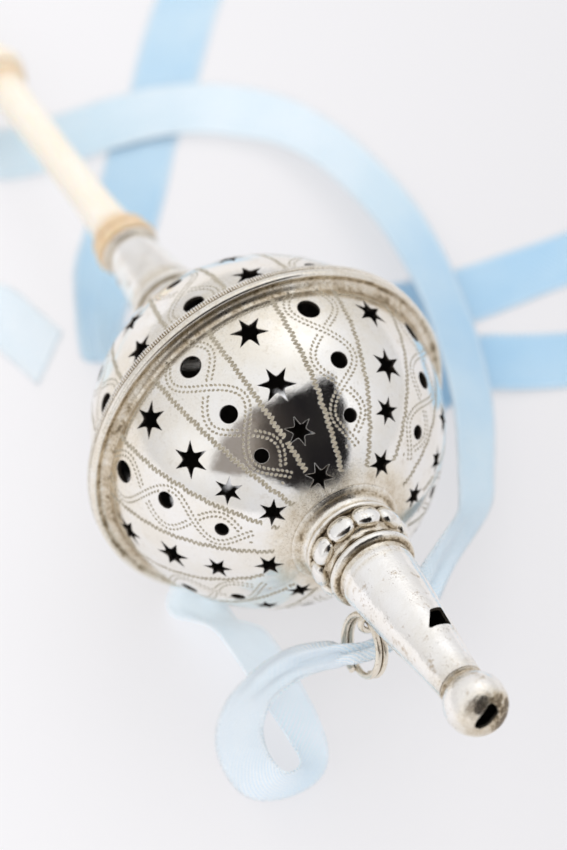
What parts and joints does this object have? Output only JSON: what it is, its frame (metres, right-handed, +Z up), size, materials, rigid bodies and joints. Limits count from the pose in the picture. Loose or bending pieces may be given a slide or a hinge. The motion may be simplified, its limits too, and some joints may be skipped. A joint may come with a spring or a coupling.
{
  "type": "baby rattle",
  "caption": "Pierced and engraved silver ball rattle with a whistle mouthpiece on one side, a turned bone handle on the other and a ribbon through a hanging ring.",
  "frame": {"origin": "centre of the ball", "axes": "+Z up from the table the rattle lies on; the rattle's own axis lies in the XZ plane, +X towards the mouthpiece, which is raised 10.8 degrees"},
  "size_m": [0.1634, 0.1171, 0.0476],
  "materials": {
    "silver": "polished silver, lightly tarnished in the recesses",
    "engraved_silver": "polished silver, lightly tarnished in the recesses",
    "bone": "turned and polished bone, satin",
    "bone_stained": "turned bone with ochre staining, satin",
    "ribbon": "pale blue woven satin ribbon",
    "pellet": "dull metal"
  },
  "bodies": {
    "rattle": {"front_shell": "engraved_silver", "rear_shell": "engraved_silver", "milled_band": "silver", "front_neck": "silver", "front_inner_ring": "silver", "front_bead_band": "silver", "front_outer_ring": "silver", "whistle_tube": "silver", "whistle_disc": "silver", "fipple_block": "silver", "mouth_knob": "silver", "ring_lug": "silver", "ribbon": "ribbon", "rear_neck": "silver", "rear_inner_ring": "silver", "rear_bead_band": "silver", "rear_outer_ring": "silver", "ferrule": "silver", "bone_ring": "bone_stained", "handle_shaft": "bone", "end_knob": "bone", "handle_pin": "silver"},
    "ring": {"suspension_ring": "silver"},
    "pellet_a": {"pellet_1": "pellet"},
    "pellet_b": {"pellet_2": "pellet"},
    "pellet_c": {"pellet_3": "pellet"},
    "pellet_d": {"pellet_4": "pellet"}
  },
  "joints": [
    {"name": "ring_swing", "type": "hinge", "parent": "rattle", "child": "ring", "pos_m": [0.03134, -0.00202, 0.00061], "axis": [0.9823, 0, 0.1874], "range_deg": [-2, 25]},
    {"name": "pellet_a_roll", "type": "hinge", "parent": "rattle", "child": "pellet_a", "pos_m": [0, 0, 0], "axis": [0.9823, 0, 0.1874], "continuous": true},
    {"name": "pellet_b_roll", "type": "hinge", "parent": "rattle", "child": "pellet_b", "pos_m": [0, 0, 0], "axis": [0.9823, 0, 0.1874], "continuous": true},
    {"name": "pellet_c_roll", "type": "hinge", "parent": "rattle", "child": "pellet_c", "pos_m": [0, 0, 0], "axis": [0.9823, 0, 0.1874], "continuous": true},
    {"name": "pellet_d_roll", "type": "hinge", "parent": "rattle", "child": "pellet_d", "pos_m": [0, 0, 0], "axis": [0.9823, 0, 0.1874], "continuous": true}
  ]
}
